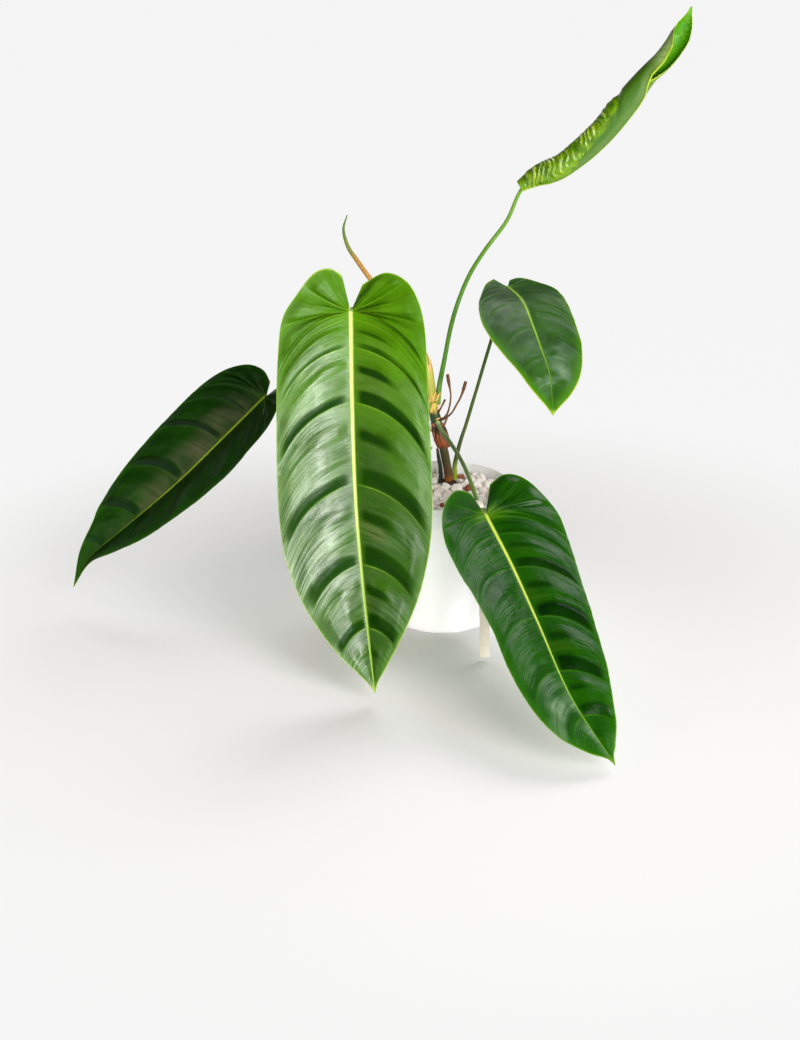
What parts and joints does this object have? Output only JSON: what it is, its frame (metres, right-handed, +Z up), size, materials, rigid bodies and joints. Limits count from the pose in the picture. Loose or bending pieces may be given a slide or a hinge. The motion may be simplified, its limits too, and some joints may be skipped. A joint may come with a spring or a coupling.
{
  "type": "potted philodendron",
  "caption": "Climbing philodendron in a white tapered pot: long drooping heart-based leaves on slim stalks from one short stem, in soil under a pale pumice layer.",
  "frame": {"origin": "centre of the pot's flat underside, on the surface it stands on", "axes": "+Z up along the pot's axis, +X to the right and +Y away from the viewer of the front view"},
  "size_m": [0.6409, 0.4301, 0.6384],
  "materials": {
    "pot_white": "satin",
    "potting_soil": "matte",
    "pale_pumice": "matte",
    "red_lava": "matte",
    "stem_olive": "satin",
    "stalk_green": "satin",
    "leaf_green": "gloss",
    "leaf_dark_green": "gloss",
    "leaf_young_green": "satin",
    "spike_sheath": "satin",
    "old_sheath_brown": "matte",
    "papery_sheath": "matte",
    "dry_root_brown": "matte",
    "live_root_green": "matte",
    "label_beige": "matte"
  },
  "bodies": {
    "root": {"pot": "pot_white", "soil": "potting_soil", "gravel": "pale_pumice", "lava_stone_1": "red_lava", "lava_stone_2": "red_lava", "lava_stone_3": "red_lava", "lava_stone_4": "red_lava", "stem": "stem_olive", "stalk_front": "stalk_green", "stalk_left": "stalk_green", "stalk_right_low": "stalk_green", "stalk_right_high": "stalk_green", "stalk_young": "stalk_green", "leaf_front": "leaf_green", "leaf_left": "leaf_dark_green", "leaf_right_low": "leaf_green", "leaf_right_high": "leaf_dark_green", "leaf_young": "leaf_young_green", "new_spike": "spike_sheath", "old_sheath": "old_sheath_brown", "paper_sheath": "papery_sheath", "dry_root_fork": "dry_root_brown", "dry_root_short": "dry_root_brown", "live_root": "live_root_green", "plant_label": "label_beige"}
  },
  "joints": []
}
